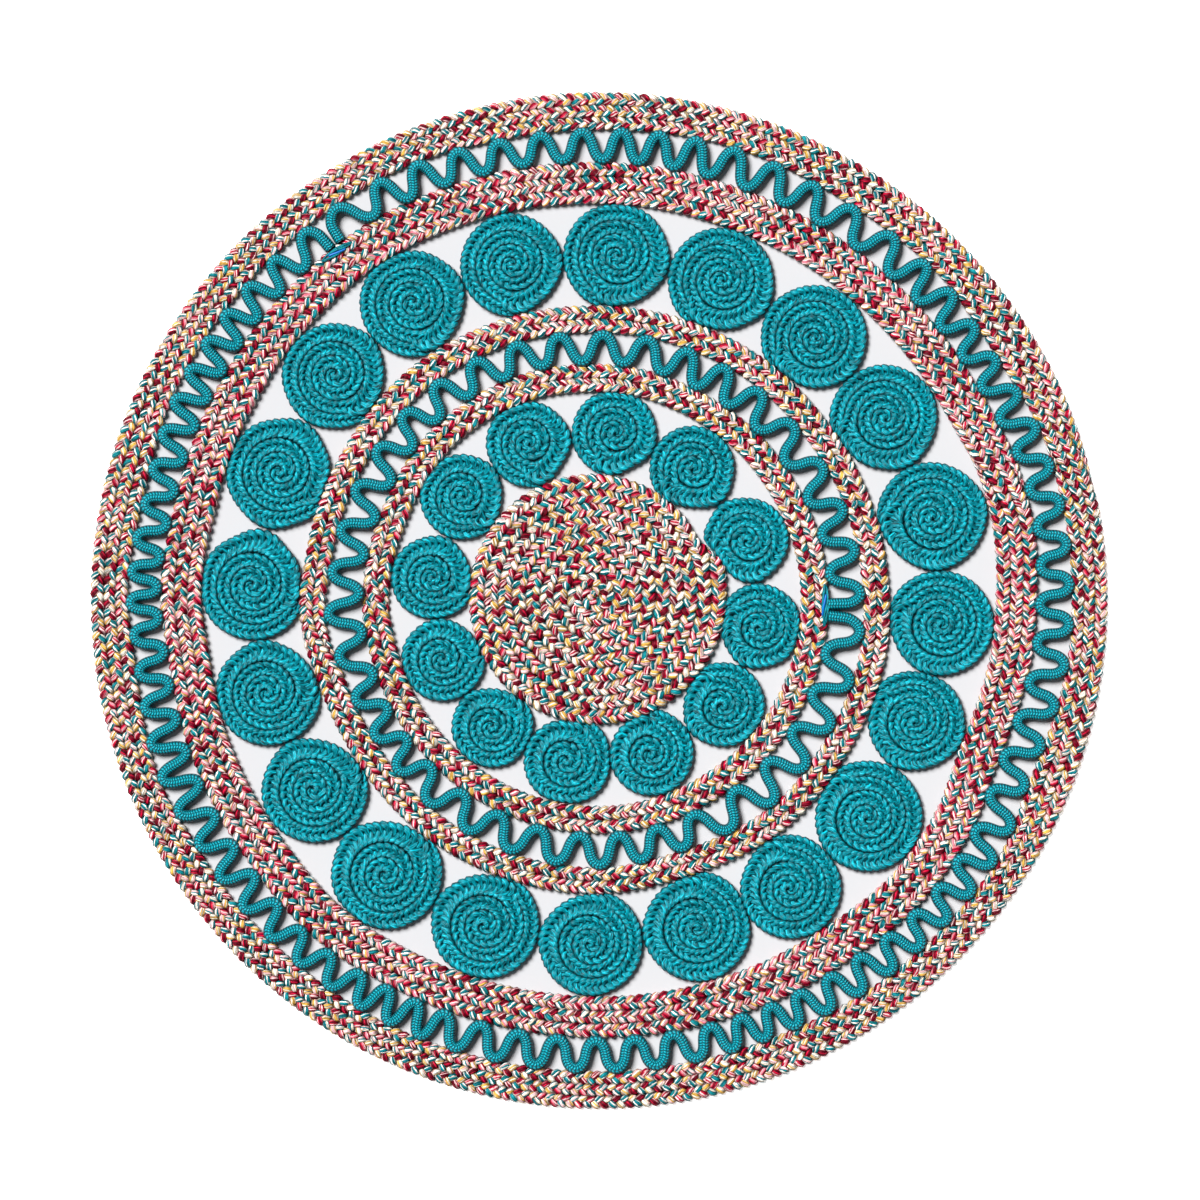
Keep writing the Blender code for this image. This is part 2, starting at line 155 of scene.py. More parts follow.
def number_setting(name, description, default, low, high, **kind):
    """A number for a group of settings, with its limits."""
    return bpy.props.FloatProperty(name=name, description=description, default=default,
                                   min=low, max=high, **kind)


def length_setting(*setting):
    """A length in metres for a group of settings."""
    return number_setting(*setting, unit="LENGTH")


def share_setting(*setting):
    """A share for a group of settings."""
    return number_setting(*setting, subtype="FACTOR")


class RugPlaitSettings(bpy.types.PropertyGroup):
    """Sizes of the plaits."""
    height: length_setting(
        "Plait Height", "Thickness of the rug where a plait is full", 0.011, 0.004, 0.03)
    mixed_lobe: length_setting(
        "Mixed Lobe", "Length of one lobe of the mixed plait", 0.010, 0.004, 0.03)
    teal_lobe: length_setting(
        "Teal Lobe", "Length of one lobe of the teal plait", 0.0077, 0.004, 0.03)
    mixed_swing: share_setting(
        "Mixed Swing", "How far a mixed strand swings, as a share of its row", 0.405, 0.1, 0.5)
    teal_swing: share_setting(
        "Teal Swing", "How far a teal strand swings, as a share of its row", 0.33, 0.1, 0.5)
    mixed_fill: share_setting(
        "Mixed Fill", "Width of a mixed lobe as a share of the room it has", 1.27, 0.5, 1.6)
    teal_fill: share_setting(
        "Teal Fill", "Width of a teal lobe as a share of the room it has", 1.34, 0.5, 1.6)
    strand_depth: share_setting(
        "Strand Depth", "A strand's depth as a share of its plait's height", 0.56, 0.2, 0.9)


class RugCordSettings(bpy.types.PropertyGroup):
    """Sizes of the zigzag cords."""
    diameter: length_setting("Cord Diameter", "Thickness of the zigzag cords", 0.0145, 0.004, 0.03)
    stitch: length_setting(
        "Sheath Stitch", "Length of one stitch of the cord's sheath", 0.0033, 0.001, 0.01)


class RugYarnSettings(bpy.types.PropertyGroup):
    """Colours of the yarns."""
    dark_red: color_setting("Dark Red", "Darkest yarn of the red strand", (0.13, 0.0, 0.010))
    crimson: color_setting("Crimson", "Main yarn of the red strand", (0.50, 0.004, 0.035))
    pink: color_setting("Pink", "Pink yarn", (0.90, 0.20, 0.27))
    teal: color_setting("Teal", "Teal yarn of the mixed plait", (0.004, 0.24, 0.28))
    deep_teal: color_setting("Deep Teal", "Dark teal yarn of the mixed plait", (0.001, 0.13, 0.17))
    blush: color_setting("Blush", "Palest pink yarn", (0.95, 0.57, 0.59))
    white: color_setting("White", "White yarn", (0.95, 0.93, 0.88))
    cream: color_setting("Cream", "Cream yarn", (0.90, 0.81, 0.65))
    mustard: color_setting("Mustard", "Mustard yarn", (0.75, 0.42, 0.08))
    rosette: color_setting("Rosette Teal", "Yarn of the rosettes", (0.0, 0.318, 0.402))
    cord: color_setting("Cord Teal", "Sheath of the zigzag cords", (0.0, 0.235, 0.300))
    thread: color_setting(
        "Blue Thread", "Thread at the ends of the zigzag cords", (0.0, 0.17, 0.60))


class RugStageSettings(bpy.types.PropertyGroup):
    """Floor, light and camera."""
    floor: color_setting("Floor", "Colour of the studio floor under the rug", (0.62, 0.627, 0.657))
    surround: color_setting(
        "Surround", "Colour of the studio floor past the rug", (0.97, 0.97, 0.97))
    sky: number_setting("Soft Light", "Strength of the light from all round", 0.10, 0.0, 4.0)
    key: number_setting("Key Light", "Strength of the light from the upper left", 5.15, 0.0, 20.0)
    frame_width: length_setting(
        "Frame Width", "Width of floor that the camera takes in", 1.44, 0.5, 4.0)
    camera_height: length_setting(
        "Camera Height", "Height of the camera over the rug", 6.0, 1.0, 20.0)


# ---------------- places round the rug

def polar(angle, radius):
    """x and y of a point at a clockwise angle from +Y and a distance from the middle."""
    turn = np.radians(angle)
    return radius * np.sin(turn), radius * np.cos(turn)


def ease(share):
    """A cosine ease from 0 to 1, held at both ends."""
    return (1.0 - np.cos(math.pi * np.clip(share, 0.0, 1.0))) / 2.0


def floor_points(node):
    """x and y of a CAD node's corners on the floor, each once."""
    mesh = NODES[node].data
    points = np.empty(len(mesh.vertices) * 3)
    mesh.vertices.foreach_get("co", points)
    points = points.reshape(-1, 3)
    low = points[points[:, 2] < points[:, 2].min() + 1e-5, :2]
    return np.unique(np.round(low, 6), axis=0)


def outline_of(points, x, y):
    """Angles and radii of points round a middle, in clockwise order."""
    across, along = points[:, 0] - x, points[:, 1] - y
    angle = np.degrees(np.arctan2(across, along)) % 360.0
    order = np.argsort(angle)
    return angle[order], np.hypot(across, along)[order]


def smooth_radius(outline, angle):
    """Radius of a closed outline at angles.

    Between two corners it is a cubic whose slope at each corner is that of the line through
    the corners on either side of it.
    """
    corners, radii = outline
    count = len(corners)
    place = np.asarray(angle, float) % 360.0
    before = (np.searchsorted(corners, place, side="right") - 1) % count
    after = (before + 1) % count
    gap = (corners[after] - corners[before]) % 360.0
    share = ((place - corners[before]) % 360.0) / gap
    slope = ((np.roll(radii, -1) - np.roll(radii, 1))
             / ((np.roll(corners, -1) - np.roll(corners, 1)) % 360.0))
    square, cube = share ** 2, share ** 3
    return (radii[before] * (2 * cube - 3 * square + 1)
            + radii[after] * (3 * square - 2 * cube)
            + slope[before] * gap * (cube - 2 * square + share)
            + slope[after] * gap * (cube - square))


def band_edges(node):
    """A band's inner and outer outline."""
    points = floor_points(node)
    away = np.hypot(points[:, 0], points[:, 1])
    split = (away.min() + away.max()) / 2.0
    return (outline_of(points[away < split], 0.0, 0.0),
            outline_of(points[away >= split], 0.0, 0.0))


# ---------------- rows of plait

Row = namedtuple("Row", "middle out width inner outer length")
# points along a row's middle, the level way across it to its left, its width, how far (0 to
# 1) another row lies against its inner and its outer side, and the length before each point

ROUTE_STEP = 1.5            # degrees between the points at which a route is measured
ROW_STEP = 0.0025           # distance between the points of a row
TAIL_OUT = 0.8              # share of a coil's taper that lies before its tail's angle
COIL_HEART = 0.3            # turns that are left out at a coil's middle
BAND_WIDTH = 0.0163         # width of row at which a band's plait has its full height
BAND_ROOM = 0.001           # how far a band's rows keep inside its edges, for their strands
JOIN_EASE = 4.0             # how fast a row shifting in a join gets a neighbour, per row


def band_row(band):
    """The place of a band's plait after an angle: x, y, width, inner and outer neighbour.

    It winds outwards clockwise. Between the angles of its join it passes from one row to the
    next, so its first turn grows in along the inner edge and its last runs out along the
    outer edge. How far it has got, in rows, is the number of joins before an angle.
    """
    inner, outer = band_edges(band.node)
    span = band.join_end - band.join_start

    def place(angle):
        turned = angle - band.join_start
        passed = np.floor(turned / 360.0) + ease((turned % 360.0) / span)
        low = np.clip(passed - 1.0, 0.0, band.rows)
        high = np.clip(passed, 0.0, band.rows)
        near = smooth_radius(inner, angle) + BAND_ROOM
        far = smooth_radius(outer, angle) - BAND_ROOM
        x, y = polar(angle, near + (far - near) * (low + high) / 2.0 / band.rows)
        return (x, y, (far - near) * (high - low) / band.rows,
                np.clip(JOIN_EASE * low, 0.0, 1.0),
                np.clip(JOIN_EASE * (band.rows - high), 0.0, 1.0))

    return place, band.join_start, band.join_start + 360.0 * band.rows + span


def coil_row(coil):
    """The place of a coil's plait after an angle from its tail, as band_row gives it.

    It winds inwards clockwise. Its outer edge follows the outline for one turn, eases on to
    a plain spiral over the taper, and its inner edge is its outer edge one turn later.
    """
    outline = outline_of(floor_points(coil.node), coil.x, coil.y)

    def edge(angle):
        rim = smooth_radius(outline, coil.tail + angle)
        groove = coil.radius * np.maximum(1.0 - angle / (360.0 * coil.turns), 0.0)
        return rim + (groove - rim) * ease((angle - 360.0) / coil.taper + TAIL_OUT)

    def place(angle):
        far, near = edge(angle), edge(angle + 360.0)
        x, y = polar(coil.tail + angle, (near + far) / 2.0)
        return (coil.x + x, coil.y + y, far - near, np.ones_like(angle),
                ease((angle - 360.0) / coil.taper + 1.0))

    return place, -TAIL_OUT * coil.taper, 360.0 * (coil.turns - COIL_HEART)


def even_row(route, step):
    """A row taken at even lengths from a route given by angle."""
    place, first, last = route
    angle = np.linspace(first, last, int((last - first) / ROUTE_STEP) + 2)
    x, y = place(angle)[:2]
    length = np.concatenate([[0.0], np.cumsum(np.hypot(np.diff(x), np.diff(y)))])
    count = max(int(round(length[-1] / step)), 4)
    along = np.linspace(0.0, length[-1], count + 1)
    x, y, width, inner, outer = place(np.interp(along, length, angle))
    way = np.stack([np.gradient(x), np.gradient(y)], axis=1)
    way /= np.linalg.norm(way, axis=1)[:, None]
    out = np.stack([-way[:, 1], way[:, 0]], axis=1)
    return Row(np.stack([x, y], axis=1), out, width, inner, outer, along)


# ---------------- tubes

Tube = namedtuple("Tube", "points along across slot")
# rings of points (ring, side, xyz), the length before each ring, how far each point lies from
# its row's middle towards a row beside it, as a share of half the row, and a material slot


def carry_oval(line, width, depth, sides):
    """Rings of an oval carried along a line.

    A ring point is the line's point plus the level way to its right times half the width
    times a cosine, plus the way square to both times half the depth times a sine.
    """
    way = np.gradient(line, axis=0)
    way /= np.linalg.norm(way, axis=1)[:, None]
    right = np.stack([way[:, 1], -way[:, 0], np.zeros(len(way))], axis=1)
    right /= np.linalg.norm(right, axis=1)[:, None]
    lift = np.cross(right, way)
    turn = 2.0 * math.pi * np.arange(sides) / sides
    return (line[:, None, :]
            + right[:, None, :] * (np.cos(turn)[None, :] * width[:, None] / 2.0)[..., None]
            + lift[:, None, :] * (np.sin(turn)[None, :] * depth[:, None] / 2.0)[..., None])


def tube_faces(rings, sides):
    """Four-cornered faces of a closed tube: its wall, ring by ring, and a fan over each end."""
    ring = np.arange(rings - 1)[:, None] * sides
    side = np.arange(sides)[None, :]
    beside = (side + 1) % sides
    wall = np.stack([ring + side, ring + sides + side, ring + sides + beside,
                     ring + beside], axis=-1).reshape(-1, 4)
    fan = np.arange(1, sides - 2, 2)
    start = np.stack([np.zeros_like(fan), fan, fan + 1, fan + 2], axis=1)
    end = start[:, ::-1] + (rings - 1) * sides
    return np.concatenate([wall, start, end])


def tube_map(tube, sides):
    """Map of a tube's faces: u is the length along it in metres, v the turn round it."""
    rings = len(tube.along)
    low = np.broadcast_to(tube.along[:-1, None], (rings - 1, sides))
    high = np.broadcast_to(tube.along[1:, None], (rings - 1, sides))
    side = np.broadcast_to(np.arange(sides)[None, :] / sides, (rings - 1, sides))
    beside = side + 1.0 / sides
    wall = np.stack([np.stack([low, side], -1), np.stack([high, side], -1),
                     np.stack([high, beside], -1), np.stack([low, beside], -1)], axis=2)
    caps = np.zeros(((sides - 2) // 2 * 2, 4, 2))
    caps[..., 0] = tube.along[0]
    return np.concatenate([wall.reshape(-1, 4, 2), caps])


def make_piece(name, tubes, materials, nodes):
    """One mesh object of closed tubes that rides on the rug and stands for CAD nodes."""
    points, across, faces, maps, slots = [], [], [], [], []
    offset = 0
    for tube in tubes:
        rings, sides = tube.points.shape[:2]
        points.append(tube.points.reshape(-1, 3))
        across.append(tube.across.ravel())
        faces.append(tube_faces(rings, sides) + offset)
        maps.append(tube_map(tube, sides))
        slots.append(np.full(len(faces[-1]), tube.slot, np.int32))
        offset += rings * sides
    points, faces = np.concatenate(points), np.concatenate(faces)
    mesh = bpy.data.meshes.new(name)
    mesh.vertices.add(len(points))
    mesh.vertices.foreach_set("co", points.astype(np.float32).ravel())
    mesh.loops.add(faces.size)
    mesh.loops.foreach_set("vertex_index", faces.astype(np.int32).ravel())
    mesh.polygons.add(len(faces))
    mesh.polygons.foreach_set("loop_start", np.arange(0, faces.size, 4, dtype=np.int32))
    for material in materials:
        mesh.materials.append(material)
    mesh.polygons.foreach_set("material_index", np.concatenate(slots))
    mesh.polygons.foreach_set("use_smooth", np.ones(len(faces), bool))
    strand_map = mesh.uv_layers.new(name="strand")
    strand_map.data.foreach_set("uv", np.concatenate(maps).astype(np.float32).ravel())
    # how far each point lies towards a row beside it, which the materials use for the painted
    # shade in the groove between rows
    shares = mesh.attributes.new("across", "FLOAT", "POINT")
    shares.data.foreach_set("value", np.concatenate(across).astype(np.float32))
    mesh.update(calc_edges=True)
    mesh.validate()
    piece = bpy.data.objects.new(name, mesh)
    bpy.context.scene.collection.objects.link(piece)
    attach(piece, "root")
    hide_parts(*nodes)
    return piece


# ---------------- plaits and cords

STRAND_SIDES = 6
THIN_SHARE = 0.3            # thickness of a plait where its row has narrowed to nothing, as a
                            # share of its full thickness
SHIFT = 0.25                # how far a plait's strands shift together, in lobes
SHIFT_SPACING = 5.0         # and over how many lobes
WANDER = 0.07               # how far each strand wanders by itself, in lobes
SWELL_WANDER = 0.05         # how much its thickness wanders
SWELL_SPACING = 1.3         # and over how many lobes

Plait = namedtuple("Plait", "lobe swing fill rings slots")
# length of a lobe, a strand's swing and fill, its rings, and the strands' material slots

Ring = namedtuple("Ring", "share swing level swell")
# a ring of points on a strand: what share of its way from the row's middle to an edge and
# back it has gone, how far out it then is, how high from -1, its lowest, to 1, and its
# thickness as a share of its full one

MIXED_RINGS = (
    Ring(0.00, 0.00, 0.05, 0.66), Ring(0.24, 0.52, -1.00, 0.80), Ring(0.44, 1.00, -0.80, 0.60),
    Ring(0.53, 1.03, 0.10, 0.88), Ring(0.66, 0.80, 0.90, 1.04), Ring(0.83, 0.40, 1.00, 1.00))
TEAL_RINGS = (
    Ring(0.00, 0.00, -1.00, 0.66), Ring(0.13, 0.58, -1.00, 0.75), Ring(0.27, 0.95, -0.80, 0.88),
    Ring(0.41, 1.06, 0.15, 1.02), Ring(0.60, 0.95, 0.95, 1.06), Ring(0.83, 0.81, 0.60, 1.06))
LOBE_SLOPE = 2.4            # how far a strand comes in on a lobe, over the share of way it takes


def wander(length, spacing, dice):
    """Random numbers from -1 to 1 at even spacings, joined by straight lines, at lengths."""
    knots = np.arange(-2.0 * spacing, np.max(length) + 2.0 * spacing, spacing)
    values = dice.uniform(-1.0, 1.0, len(knots))
    return np.interp(length, knots, values)


def row_at(row, length):
    """A row's middle, way across, width and neighbours at lengths along it."""
    def at(values):
        return np.interp(length, row.length, values)

    middle = np.stack([at(row.middle[:, 0]), at(row.middle[:, 1])], axis=1)
    out = np.stack([at(row.out[:, 0]), at(row.out[:, 1])], axis=1)
    return middle, out, at(row.width), at(row.inner), at(row.outer)


def plait_strands(row, full_width, plait, dice):
    """The three strands of a plait along a row.

    A strand swings from one edge of the row to the other and back in three lobes. It goes
    out low, turns up at the edge, and lies on top on its way back in. The three are a lobe
    apart. They shift along the row together, and each wanders a little by itself. A strand is
    as wide as the room between one lobe and the next, square to them, times the fill, and it
    thins where the row narrows.
    """
    settings = bpy.context.scene.rug_plaits
    lobe = plait.lobe
    half = 1.5 * lobe
    total = row.length[-1]
    shares, swings, levels, swells = np.array(plait.rings).T
    spacing = SHIFT_SPACING * lobe
    knots = np.arange(0.0, total + 2.0 * spacing, spacing)
    shifts = SHIFT * lobe * dice.uniform(-1.0, 1.0, len(knots))
    tubes = []
    for strand, slot in enumerate(plait.slots):
        count = int(total / half) + 3
        side = np.where(np.arange(count) % 2, -1.0, 1.0)
        place = ((np.arange(count)[:, None] + shares) * half - strand * lobe).ravel()
        length = (place + np.interp(place, knots, shifts)
                  + WANDER * lobe * wander(place, lobe, dice))
        inside = (length > 0.0) & (length < total)
        length = length[inside]
        middle, out, room, inner, outer = row_at(row, length)
        swing = (side[:, None] * swings).ravel()[inside]
        level = np.tile(levels, count)[inside]
        swell = (np.tile(swells, count)[inside]
                 + SWELL_WANDER * wander(length, SWELL_SPACING * lobe, dice))
        full = np.clip(room / full_width, 0.03, 1.0)
        thick = settings.height * (THIN_SHARE + (1.0 - THIN_SHARE) * full)
        reach = plait.swing * room
        slope = LOBE_SLOPE * reach / half
        width = plait.fill * lobe * slope / np.sqrt(1.0 + slope ** 2) * swell
        depth = thick * settings.strand_depth * swell
        flat = middle + out * (reach * swing)[:, None]
        height = (thick + (thick - depth) * level) / 2.0
        line = np.concatenate([flat, height[:, None]], axis=1)
        points = carry_oval(line, width, depth, STRAND_SIDES)
        # how far each point lies towards a neighbouring row, for the painted groove shade; a free
        # edge gets none
        aside = ((points[..., :2] - middle[:, None, :]) * out[:, None, :]).sum(axis=-1)
        beside = np.where(aside > 0.0, outer[:, None], inner[:, None])
        across = beside * np.abs(aside) * 2.0 / room[:, None]
        tubes.append(Tube(points, length + dice.uniform(0.0, 50.0), across, slot))
    return tubes


def even_cord(cord):
    """Points along a zigzag cord's middle, from one end at its band to the other.

    The angle follows the pace table plus a double-speed sine that rounds the turns, the
    radius swings as the arc sine of a cosine between the edges of the two bands the cord is
    sewn to. The turns lie a little over the bands' edges.
    """
    settings = bpy.context.scene.rug_cords
    inset = settings.diameter / 2.0 - CORD_LAP
    low_edge = band_edges(cord.inner_band)[1]
    high_edge = band_edges(cord.outer_band)[0]
    counts = [row.waves for row in cord.pace]
    angles = [row.angle for row in cord.pace]
    waves = np.arange(counts[0], counts[-1], WAVE_STEP)
    ahead, behind = np.interp(waves + 0.5, counts, angles), np.interp(waves - 0.5, counts, angles)
    angle = np.interp(waves, counts, angles)
    roundness = np.interp(angle, np.arange(0.0, 360.0, 45.0), cord.roundness, period=360.0)
    angle += roundness * (ahead - behind) * np.sin(4.0 * math.pi * waves)
    low = smooth_radius(low_edge, angle) + inset
    high = smooth_radius(high_edge, angle) - inset
    swing = np.arcsin(TURN_CORNER * np.cos(2.0 * math.pi * waves)) / math.asin(TURN_CORNER)
    radius = low + (high - low) * (1.0 - swing) / 2.0
    level = settings.diameter / 2.0 + CORD_LIFT * swing ** 4
    line = np.stack([*polar(angle, radius), level], axis=1)
    feet = np.stack([*polar(angle[[0, -1]], smooth_radius(low_edge, angle[[0, -1]])),
                     level[[0, -1]]], axis=1)
    line = np.concatenate([feet[:1], line[FOOT_POINTS:-FOOT_POINTS], feet[1:]])
    length = np.concatenate([[0.0], np.cumsum(np.linalg.norm(np.diff(line, axis=0), axis=1))])
    along = np.linspace(0.0, length[-1], int(round(length[-1] / CORD_STEP)) + 1)
    line = np.stack([np.interp(along, length, line[:, axis]) for axis in range(3)], axis=1)
    for _ in range(2):
        line[1:-1] = (line[:-2] + 2.0 * line[1:-1] + line[2:]) / 4.0
    return line, along


def binding_threads(binding):
    """Threads that lie side by side along a binding, twisted half a turn, thinner at its ends.

    Each thread's middle runs on an oval round the binding's middle, and the threads start at
    even turns round it.
    """
    share = np.linspace(0.0, 1.0, BINDING_POINTS)
    bulge = np.sin(math.pi * np.clip(share, 0.04, 0.96)) ** 0.5
    angle = binding.start + (binding.end - binding.start) * share
    radius = binding.start_radius + (binding.end_radius - binding.start_radius) * share
    along = np.radians(binding.end - binding.start) * binding.start_radius * share
    tubes = []
    for thread in range(BINDING_THREADS):
        turn = math.pi * (share + 2.0 * thread / BINDING_THREADS - 0.5)
        x, y = polar(angle, radius + BINDING_WIDTH * bulge * np.cos(turn))
        level = BINDING_LEVEL + BINDING_HEIGHT * np.sin(turn) - BINDING_DIP * (1.0 - bulge)
        line = np.stack([x, y, level], axis=1)
        size = THREAD_WIDTH * bulge
        slot, part = (2, BLUE_PART) if thread == BLUE_THREAD else (1, slice(None))
        points = carry_oval(line[part], size[part], size[part], STRAND_SIDES)
        tubes.append(Tube(points, along[part], np.zeros(points.shape[:2]), slot))
    return tubes


# ---------------- material helpers

def feed(tree, socket, value):
    """Links a socket to an input, or sets the input to a number or a colour."""
    if isinstance(value, bpy.types.NodeSocket):
        tree.links.new(value, socket)
    else:
        socket.default_value = value


def add_math(tree, operation, *values):
    """A Math node whose inputs are numbers or sockets; gives back its output."""
    node = tree.nodes.new("ShaderNodeMath")
    node.operation = operation
    for socket, value in zip(node.inputs, values):
        feed(tree, socket, value)
    return node.outputs[0]


def add_range(tree, value, limits, kind="LINEAR"):
    """A Map Range node that takes two limits to 0 and 1; gives back its output."""
    node = tree.nodes.new("ShaderNodeMapRange")
    node.interpolation_type = kind
    node.inputs["From Min"].default_value, node.inputs["From Max"].default_value = limits
    tree.links.new(value, node.inputs["Value"])
    return node.outputs["Result"]


def add_noise(tree, vector, scale, detail=2.0):
    """A Noise Texture node; gives back its value."""
    node = tree.nodes.new("ShaderNodeTexNoise")
    node.inputs["Scale"].default_value = scale
    node.inputs["Detail"].default_value = detail
    tree.links.new(vector, node.inputs["Vector"])
    return node.outputs["Fac"]


def add_vector(tree, x, y, z):
    """A vector from three numbers or sockets."""
    node = tree.nodes.new("ShaderNodeCombineXYZ")
    for socket, value in zip(node.inputs, (x, y, z)):
        feed(tree, socket, value)
    return node.outputs[0]


def new_group(name, inputs, outputs):
    """A shader node group with number inputs and outputs; gives back its tree and ends."""
    tree = bpy.data.node_groups.new(name, "ShaderNodeTree")
    for label, default in inputs:
        socket = tree.interface.new_socket(label, in_out="INPUT", socket_type="NodeSocketFloat")
        socket.default_value = default
    for label in outputs:
        tree.interface.new_socket(label, in_out="OUTPUT", socket_type="NodeSocketFloat")
    return tree, tree.nodes.new("NodeGroupInput"), tree.nodes.new("NodeGroupOutput")


def strand_place(tree):
    """Length along a strand in metres and turn round it, from the strand map."""
    uv = tree.nodes.new("ShaderNodeUVMap")
    uv.uv_map = "strand"
    split = tree.nodes.new("ShaderNodeSeparateXYZ")
    tree.links.new(uv.outputs[0], split.inputs[0])
    return split.outputs[0], split.outputs[1]


def seamless(tree, along, around, stretch, radius):
    """A place for noise round a strand without a seam: length, and a circle for the turn."""
    turn = add_math(tree, "MULTIPLY", around, 2.0 * math.pi)
    return add_vector(tree, add_math(tree, "MULTIPLY", along, stretch),
                      add_math(tree, "MULTIPLY", add_math(tree, "COSINE", turn), radius),
                      add_math(tree, "MULTIPLY", add_math(tree, "SINE", turn), radius))


def painted_side_shade(tree, around, amount):
    """A painted shade that is 1 on a strand's back and belly and falls by an amount at its sides,
    where strands meet and where a round cord turns away from the light.
    """
    side = add_math(tree, "COSINE", add_math(tree, "MULTIPLY", around, 2.0 * math.pi))
    side = add_math(tree, "POWER", add_math(tree, "ABSOLUTE", side), 3.0)
    return add_math(tree, "SUBTRACT", 1.0, add_math(tree, "MULTIPLY", side, amount))


GROOVE_SHADE_REACH = (0.72, 1.05)     # where the painted groove shade starts and is full, as a share of half a row


def painted_groove_shade(tree):
    """How deep a place lies in the groove between two rows of plait, from 0 to 1: the mask of
    the painted shade in that groove.
    """
    across = tree.nodes.new("ShaderNodeAttribute")
    across.attribute_name = "across"
    return add_range(tree, across.outputs["Fac"], GROOVE_SHADE_REACH, "SMOOTHSTEP")


def yarn_bundle_group():
    """Yarns that lie side by side round a strand.

    Around says which yarn of the bundle lies at a place: the turn round the strand, twisted
    and shifted slowly along it, with frayed borders. Height and Shade follow each yarn's
    round back, and fine fibres along it. Shade is painted shade: lighter on each yarn's back
    and darker between yarns, darker on a strand's sides, where strands meet, and darker in the
    groove between two rows; the fibres also make it lighter and darker.
    """
    tree, enter, leave = new_group(
        "Yarn Bundle",
        (("Yarns", 7.0), ("Twist", 5.0), ("Drift", 0.9), ("Fray", 0.14), ("Fibre", 0.7),
         ("Grain", 3.0), ("Side", 0.36), ("Groove", 0.6)),
        ("Around", "Height", "Shade"))
    along, around = strand_place(tree)
    drift = add_noise(tree, add_vector(tree, along, 0.0, 0.0), scale=36.0, detail=1.0)
    shift = add_math(tree, "MULTIPLY_ADD", along, enter.outputs["Twist"],
                     add_math(tree, "MULTIPLY", drift, enter.outputs["Drift"]))
    fibres = seamless(tree, along, around, stretch=220.0, radius=2.6)
    fine = add_noise(tree, fibres, scale=1.0, detail=3.0)
    fray = add_math(tree, "MULTIPLY_ADD", fine, enter.outputs["Fray"], shift)
    place = add_math(tree, "FRACT", add_math(tree, "ADD", around, fray))
    back = add_math(tree, "FRACT", add_math(tree, "MULTIPLY", place, enter.outputs["Yarns"]))
    arch = add_math(tree, "SINE", add_math(tree, "MULTIPLY", back, math.pi))
    arch = add_math(tree, "POWER", arch, 0.7)
    fibre = add_math(tree, "MULTIPLY", fine, enter.outputs["Fibre"])
    height = add_math(tree, "ADD", arch, fibre)
    # painted shade: lighter on each yarn's back, darker between yarns
    shade = add_math(tree, "MULTIPLY_ADD", arch, 0.60, 0.52)
    grain = add_math(tree, "MULTIPLY_ADD", add_math(tree, "SUBTRACT", fine, 0.5),
                     enter.outputs["Grain"], 1.0)
    shade = add_math(tree, "MULTIPLY", shade, add_math(tree, "MAXIMUM", grain, 0.1))
    # painted shade on a strand's sides, where strands meet
    shade = add_math(tree, "MULTIPLY", shade, painted_side_shade(tree, around, enter.outputs["Side"]))
    groove = add_math(tree, "MULTIPLY", painted_groove_shade(tree), enter.outputs["Groove"])
    shade = add_math(tree, "MULTIPLY", shade, add_math(tree, "SUBTRACT", 1.0, groove))
    tree.links.new(place, leave.inputs["Around"])
    tree.links.new(height, leave.inputs["Height"])
    tree.links.new(shade, leave.inputs["Shade"])
    return tree


def sheath_group():
    """Braided sheath of a cord: columns of short slanted stitches that lean by turns.

    A stitch's height is the product of two half sines, one across its column, to the power of
    a half, and one along it, where the length is shifted by the turn, one way and then the
    other. Every other column starts half a stitch later. Shade is painted light: a highlight
    on each stitch's back, shade between stitches, and shade on the cord's sides.
    """
    tree, enter, leave = new_group(
        "Cord Sheath", (("Columns", 10.0), ("Stitch", 0.003), ("Lean", 0.35), ("Side", 0.85)),
        ("Height", "Shade"))
    along, around = strand_place(tree)
    column = add_math(tree, "MULTIPLY", around, enter.outputs["Columns"])
    across = add_math(tree, "FRACT", column)
    parity = add_math(tree, "MODULO", add_math(tree, "FLOOR", column), 2.0)
    sign = add_math(tree, "MULTIPLY_ADD", parity, 2.0, -1.0)
    lean = add_math(tree, "MULTIPLY", add_math(tree, "MULTIPLY", sign, across),
                    enter.outputs["Lean"])
    length = add_math(tree, "DIVIDE", along, enter.outputs["Stitch"])
    length = add_math(tree, "MULTIPLY_ADD", parity, 0.5, length)
    step = add_math(tree, "FRACT", add_math(tree, "ADD", length, lean))
    wide = add_math(tree, "SINE", add_math(tree, "MULTIPLY", across, math.pi))
    short = add_math(tree, "SINE", add_math(tree, "MULTIPLY", step, math.pi))
    lobe = add_math(tree, "MULTIPLY", add_math(tree, "POWER", wide, 0.5), short)
    fibres = seamless(tree, along, around, stretch=700.0, radius=6.0)
    fine = add_noise(tree, fibres, scale=1.0)
    height = add_math(tree, "MULTIPLY_ADD", fine, 0.25, lobe)
    # painted highlight on each stitch's back, painted shade between stitches and on the cord's
    # sides
    shade = add_math(tree, "MULTIPLY_ADD", add_math(tree, "POWER", lobe, 1.3), 2.1, 0.25)
    shade = add_math(tree, "MULTIPLY", shade, painted_side_shade(tree, around, enter.outputs["Side"]))
    tree.links.new(height, leave.inputs["Height"])
    tree.links.new(shade, leave.inputs["Shade"])
    return tree


